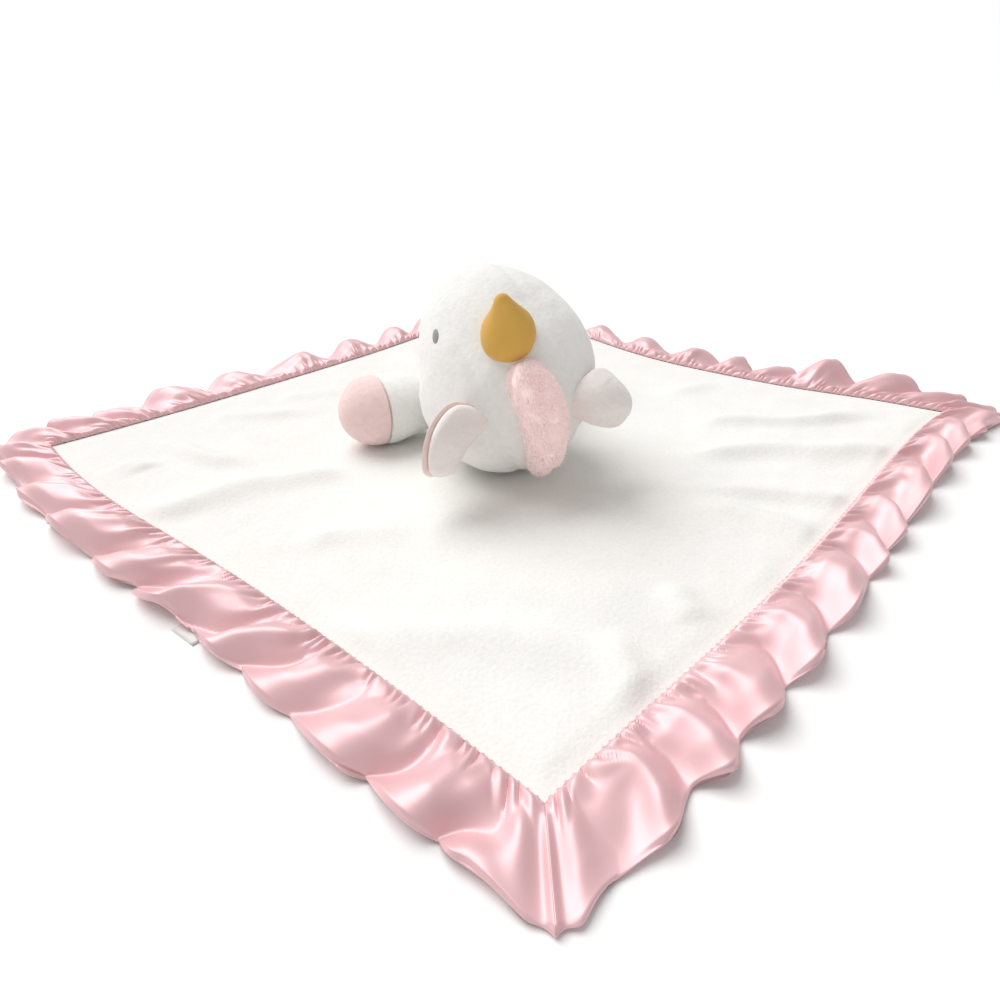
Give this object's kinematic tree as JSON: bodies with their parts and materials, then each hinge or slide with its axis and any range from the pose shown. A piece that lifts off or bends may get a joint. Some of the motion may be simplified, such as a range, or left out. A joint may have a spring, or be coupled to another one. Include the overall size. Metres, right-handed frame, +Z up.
{
  "type": "comfort blanket lovey",
  "caption": "Square plush comfort blanket with a gathered satin binding and a small stuffed unicorn sewn to its middle.",
  "frame": {"origin": "centre of the blanket's underside, in the plane that it lies on", "axes": "+Z up out of the surface that the blanket lies on; -Y towards the front corner, which the toy's crown points to; +X towards the right corner"},
  "size_m": [0.537, 0.537, 0.0943],
  "materials": {
    "white_plush": "short soft white pile",
    "pink_satin": "pale pink satin, glossy along its gathers",
    "pink_plush": "short soft pale pink pile",
    "pink_pile": "long matted pink pile",
    "gold_cloth": "matte golden yellow cloth",
    "label_ribbon": "smooth blank ribbon",
    "fibre_filling": "loose white fibre"
  },
  "bodies": {
    "blanket": {"blanket_top_panel": "white_plush", "blanket_back_panel": "white_plush", "ruffle_back_right": "pink_satin", "ruffle_back_left": "pink_satin", "ruffle_front_left": "pink_satin", "ruffle_front_right": "pink_satin", "care_label": "label_ribbon", "body_cover": "white_plush", "body_filling": "fibre_filling"},
    "head": {"head_cover": "white_plush", "head_filling": "fibre_filling", "horn_cover": "gold_cloth", "horn_filling": "fibre_filling", "mane": "pink_pile"},
    "left_ear": {"left_ear_outer": "white_plush", "left_ear_lining": "pink_plush"},
    "right_ear": {"right_ear_outer": "white_plush", "right_ear_lining": "pink_plush"},
    "left_arm": {"left_arm_cover": "white_plush", "left_hoof_cover": "pink_plush", "left_arm_filling": "fibre_filling"},
    "right_arm": {"right_arm_cover": "white_plush", "right_hoof_cover": "pink_plush", "right_arm_filling": "fibre_filling"}
  },
  "joints": [
    {"name": "head_nod", "type": "hinge", "parent": "blanket", "child": "head", "pos_m": [0, -0.012, 0.024], "axis": [-1, 0, 0], "range_deg": [0, 70]},
    {"name": "left_arm_swing", "type": "hinge", "parent": "blanket", "child": "left_arm", "pos_m": [-0.02, -0.006, 0.02], "axis": [0, 0, -1], "range_deg": [0, 100]},
    {"name": "right_arm_swing", "type": "hinge", "parent": "blanket", "child": "right_arm", "pos_m": [0.02, -0.006, 0.02], "axis": [0, 0, -1], "range_deg": [0, 100]},
    {"name": "left_ear_flap", "type": "hinge", "parent": "head", "child": "left_ear", "pos_m": [-0.01273, -0.09363, 0.04079], "axis": [0.095, 0.003, 0.9955], "range_deg": [0, 35]},
    {"name": "right_ear_flap", "type": "hinge", "parent": "head", "child": "right_ear", "pos_m": [0.02574, -0.0883, 0.04719], "axis": [-0.1, -0.2549, -0.9618], "range_deg": [0, 35]}
  ]
}
